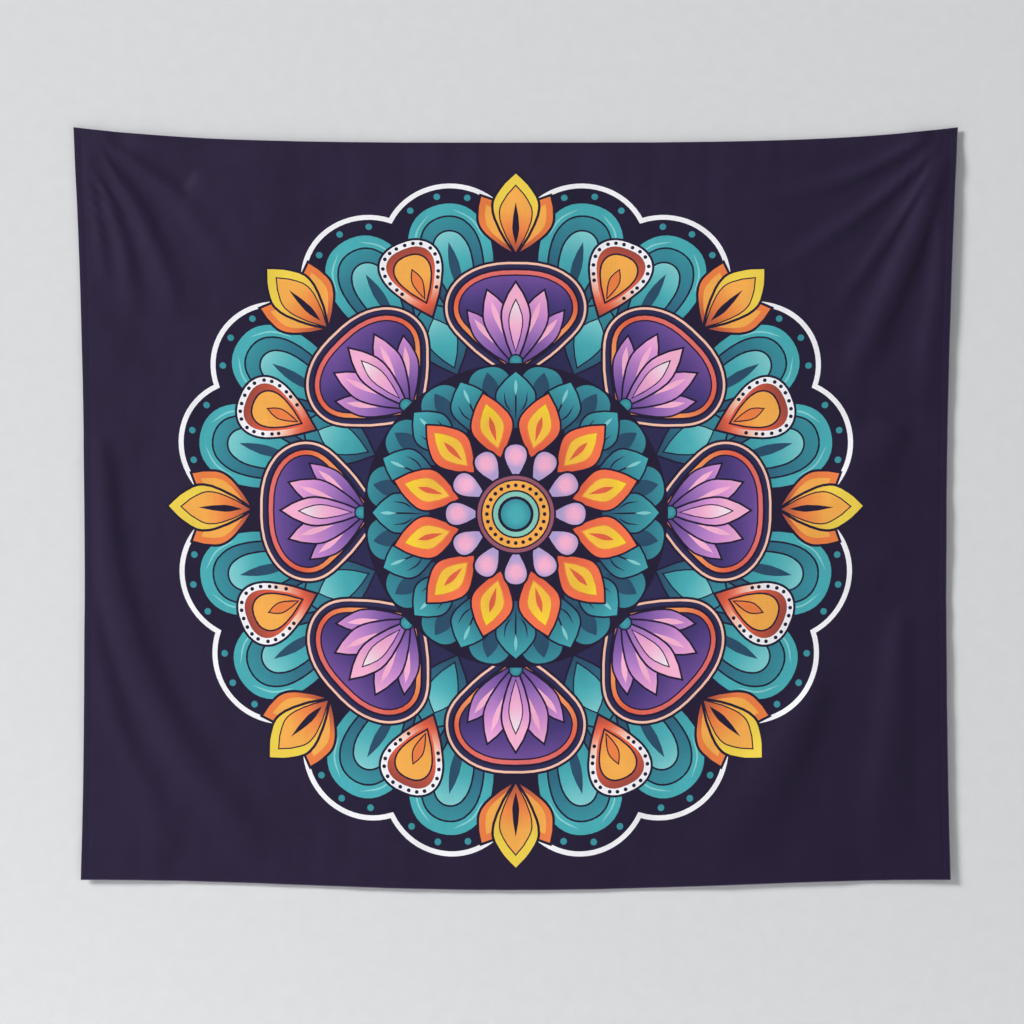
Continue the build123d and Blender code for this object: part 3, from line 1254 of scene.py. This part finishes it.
def cloth_material(name, printed):
    """Thin brushed polyester: fine weave, slubs, dye mottle, a little fading at the turned edge,
    and paler along the right and bottom edges.
    """
    look = Look(name, 0.7, sheen=0.02, sheen_roughness=0.4, specular=0.12)
    spot = look.spot()
    s, t = look.first_two(spot)
    half_w, half_h = CUT_WIDTH / 2 * MM, CUT_HEIGHT / 2 * MM
    to_side = look.math("SUBTRACT", half_w, look.math("ABSOLUTE", s))
    to_end = look.math("SUBTRACT", half_h, look.math("ABSOLUTE", t))
    inset = look.math("MINIMUM", to_side, to_end)
    if printed:
        dye = look.node("Attribute", [], 0, attribute_name="print")
    else:
        dye = look.mix(look.noise(spot, 9.0), rgba(GROUND), rgba(GROUND_SHADE_AND_MOTTLE))
    mottle = look.between(look.noise(spot, 14.0, 4.0), 0.90, 1.10)
    upright = look.streaks(spot, (900.0, 22.0, 1.0))
    level = look.streaks(spot, (22.0, 900.0, 1.0))
    slubs = look.math("ADD", upright, level)
    dyed = look.tinted(dye, look.times(mottle, look.math("MULTIPLY_ADD", slubs, 0.16, 0.84)))
    worn_edge = look.across_range(inset, 0.0, 0.0016, 0.10, 0.0)
    scuffs = look.times(worn_edge, look.noise(spot, 260.0, 3.0))
    # Paler towards the right and bottom cut edges, in patches, blending towards UNDYED.
    to_right = look.math("SUBTRACT", half_w, s)
    to_foot = look.math("ADD", half_h, t)
    pale_right_and_foot = look.across_range(look.math("MINIMUM", to_right, to_foot), 0.0004, 0.0014, 0.7, 0.0)
    pale_right_and_foot = look.times(pale_right_and_foot, look.streaks(spot, (30.0, 30.0, 1.0), 3.0))
    colour = look.mix(pale_right_and_foot, look.mix(scuffs, dyed, rgba(LILAC)), rgba(UNDYED))
    roughness = look.between(look.noise(spot, 55.0, 3.0), 0.58, 0.80)
    hem_step = look.across_range(inset, 0.0105, 0.0135, 1.0, 0.0, interpolation_type="SMOOTHSTEP")
    return look.finish(colour, roughness, [
        (look.noise(spot, 22.0, 3.0), 0.0022, 0.35),
        (look.noise(look.stretched(spot, (1.0, 0.55, 1.0)), 60.0, 3.0), 0.0006, 0.30),
        (hem_step, 0.0003, 0.8),
        (stitch_pucker(look, s, t, inset), 0.0005, 0.8),
        (slubs, 0.00008, 0.4),
        (weave_height(look, s, t), 0.00006, 0.5),
    ])


def thread_material(name, colour, glint):
    """Two-ply polyester thread: a slanting twist whose crests carry a painted highlight."""
    look = Look(name, 0.5, sheen=0.05, specular=0.2)
    place = look.node("TexCoord", [], 3)
    twist = look.node("TexWave", {"Vector": place, "Scale": 900.0, "Distortion": 1.5}, 1,
                      wave_type="BANDS", bands_direction="DIAGONAL")
    # The twist's crests blend towards the glint colour: painted highlight.
    shade = look.mix(look.between(twist, 0.0, 0.7), rgba(colour), rgba(glint))
    uneven = look.between(look.noise(place, 400.0, 3.0), 0.75, 1.15)
    roughness = look.between(twist, 0.38, 0.62)
    return look.finish(look.tinted(shade, uneven), roughness, [(twist, 0.0001, 0.8)])


def tape_material():
    """Herringbone cotton tape with firmer edges."""
    look = Look("twill_tape", 0.8, sheen=0.3)
    spot = look.spot()
    along, across = look.first_two(spot)
    zigzag = look.math("PINGPONG", across, 0.001)
    ribs = look.ripple(look.math("ADD", along, zigzag), TWILL_PITCH)
    fuzz = look.noise(spot, 900.0, 4.0)
    dark, pale = rgba((52, 44, 72)), rgba((92, 82, 116))
    colour = look.mix(look.between(ribs, 0.3, 0.6), dark, pale)
    edge = look.across_range(look.math("ABSOLUTE", across), 0.0016, 0.0020, 0.0, 0.5)
    colour = look.mix(look.times(edge, fuzz), colour, pale)
    roughness = look.between(fuzz, 0.7, 0.95)
    return look.finish(colour, roughness, [(ribs, 0.0001, 0.7), (fuzz, 0.00008, 0.5)])


def label_material():
    """White satin ribbon, left blank."""
    look = Look("label_satin", 0.35, sheen=0.2)
    look.shader.inputs["Anisotropic"].default_value = 0.4
    spot = look.spot()
    floats = look.streaks(spot, (60.0, 2600.0, 1.0))
    cloud = look.noise(spot, 60.0, 3.0)
    colour = look.mix(look.between(cloud, 0.1, 0.9), rgba((236, 233, 228)), rgba((248, 247, 244)))
    colour = look.tinted(colour, look.between(floats, 0.9, 1.05))
    roughness = look.between(floats, 0.25, 0.48)
    return look.finish(colour, roughness, [(floats, 0.00006, 0.6), (cloud, 0.0004, 0.3)])


def wall_material():
    """Plain pale paint that can't be seen from behind and lets the rear light through."""
    look = Look("plain_wall", 0.9, specular=0.1)
    grain = look.noise(look.node("TexCoord", [], 3), 40.0, 5.0)
    colour = look.mix(grain, rgba((214, 215, 217)), rgba((222, 223, 224)))
    look.finish(colour, 0.9, [(grain, 0.001, 0.15)])
    geometry = look.tree.nodes.new("ShaderNodeNewGeometry")
    rays = look.tree.nodes.new("ShaderNodeLightPath")
    unseen = look.math("MAXIMUM", geometry.outputs["Backfacing"], rays.outputs["Is Shadow Ray"])
    clear = look.node("BsdfTransparent", [])
    mixed = look.node("MixShader", [unseen, look.shader.outputs[0], clear])
    output = next(n for n in look.tree.nodes if n.type == "OUTPUT_MATERIAL")
    look.tree.links.new(mixed, output.inputs["Surface"])
    return look.material


def floor_material():
    """Plain pale floor, very slightly uneven."""
    look = Look("plain_floor", 0.85)
    grain = look.noise(look.node("TexCoord", [], 3), 12.0, 4.0)
    colour = look.mix(grain, rgba((206, 206, 208)), rgba((216, 216, 217)))
    return look.finish(colour, 0.85, [(grain, 0.001, 0.1)])


# ------------------------------------------------------------------ the room

WALL_HALF, WALL_TOP, FLOOR_Z = 3.2, 2.2, -1.75
FLOOR_HALF, FLOOR_NEAR, FLOOR_FAR = 5, -6, 4
MIDDLE = (0.0, 0.0, (CAD_BOX[0][2] + CAD_BOX[1][2]) / 2)
CAMERA_PLACE = (-0.0065, -4.92, -0.6526)
LENS, SENSOR = 100.0, 36.0
SKY_COLOUR, SKY_STRENGTH = (0.96, 0.98, 1.0, 1.0), 0.16
LAMPS = {
    "key": ((-18.0, -10.5, 9.3), 7.0, 6100),
    "fill": ((4.5, -6.0, 0.6), 3.0, 45),
    "rear": ((-4.5, 3.6, 2.4), 1.6, 360),
}


def make_plane(name, points, material):
    """One flat piece of the room."""
    plane = make_piece(name, points, [(0, 1, 2, 3)], rounded=False)
    plane.data.materials.append(material)


def make_room():
    """A plain wall at y = 0 and a plain floor well below the cloth."""
    make_plane("stage_wall", [
        (-WALL_HALF, 0, FLOOR_Z), (WALL_HALF, 0, FLOOR_Z),
        (WALL_HALF, 0, WALL_TOP), (-WALL_HALF, 0, WALL_TOP),
    ], wall_material())
    make_plane("stage_floor", [
        (-FLOOR_HALF, FLOOR_NEAR, FLOOR_Z), (FLOOR_HALF, FLOOR_NEAR, FLOOR_Z),
        (FLOOR_HALF, FLOOR_FAR, FLOOR_Z), (-FLOOR_HALF, FLOOR_FAR, FLOOR_Z),
    ], floor_material())


def add_light(name, place, size, power):
    """A round white soft box aimed at the cloth's middle."""
    light = bpy.data.lights.new(name, "AREA")
    light.shape, light.size, light.energy = "DISK", size, power
    lamp = bpy.data.objects.new(name, light)
    bpy.context.collection.objects.link(lamp)
    lamp.location = place
    lamp.rotation_euler = (Vector(MIDDLE) - lamp.location).to_track_quat("-Z", "Y").to_euler()


def make_camera():
    """A long lens, square on to the wall."""
    data = bpy.data.cameras.new("camera")
    data.lens, data.sensor_width = LENS, SENSOR
    camera = bpy.data.objects.new("camera", data)
    bpy.context.collection.objects.link(camera)
    camera.location = CAMERA_PLACE
    camera.rotation_euler = (math.pi / 2, 0, 0)
    bpy.context.scene.camera = camera


def light_room():
    """A dim sky, a far key at the upper left, a fill at the right and a lamp behind the wall."""
    world = bpy.data.worlds.new("studio")
    world.use_nodes = True
    sky = next(n for n in world.node_tree.nodes if n.type == "BACKGROUND")
    sky.inputs[0].default_value = SKY_COLOUR
    sky.inputs[1].default_value = SKY_STRENGTH
    bpy.context.scene.world = world
    for name, settings in LAMPS.items():
        add_light(name, *settings)


# ------------------------------------------------------------------ putting it together

STITCH_BULGE = 0.14
NEEDLE_Y, BOBBIN_Y = FRONT_Y - 0.02, HEM_BACK_Y - 0.06


def dress(piece, material):
    """Gives the piece its one material."""
    piece.data.materials.clear()
    piece.data.materials.append(material)


def build():
    cloth = make_cloth()
    dress(cloth, cloth_material("printed_polyester", printed=True))
    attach(cloth, "cloth")
    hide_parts("cloth_panel")
    hem_cloth = cloth_material("hem_polyester", printed=False)
    needle = thread_material("needle_thread", (44, 36, 60), (66, 56, 86))
    bobbin = thread_material("bobbin_thread", (64, 56, 84), (112, 104, 134))
    for number, side in enumerate(SIDES):
        hem = make_hem(side, seed=number)
        dress(hem, hem_cloth)
        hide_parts("hem_" + side)
        front = make_stitches("needle_stitches_" + side, side, NEEDLE_Y, -STITCH_BULGE)
        dress(front, needle)
        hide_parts("needle_thread_" + side)
        back = make_stitches("bobbin_stitches_" + side, side, BOBBIN_Y, STITCH_BULGE)
        dress(back, bobbin)
        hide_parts("bobbin_thread_" + side)
        for piece in (hem, front, back):
            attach(piece, "cloth")
    tape = tape_material()
    eye_x = (loop_low.x + loop_high.x) / 2
    for side, x in (("left", eye_x), ("right", -eye_x)):
        loop = make_loop(side, x / MM)
        dress(loop, tape)
        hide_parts("loop_tab_" + side, "hanging_loop_" + side)
        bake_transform(loop)
        tack = make_tack(side, x / MM)
        dress(tack, bobbin)
        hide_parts("loop_tack_" + side)
        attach(tack, "cloth")
    label = make_label()
    dress(label, label_material())
    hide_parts("care_label")
    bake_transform(label)


bpy.context.scene.view_settings.view_transform = "Standard"
build()
make_room()
light_room()
make_camera()
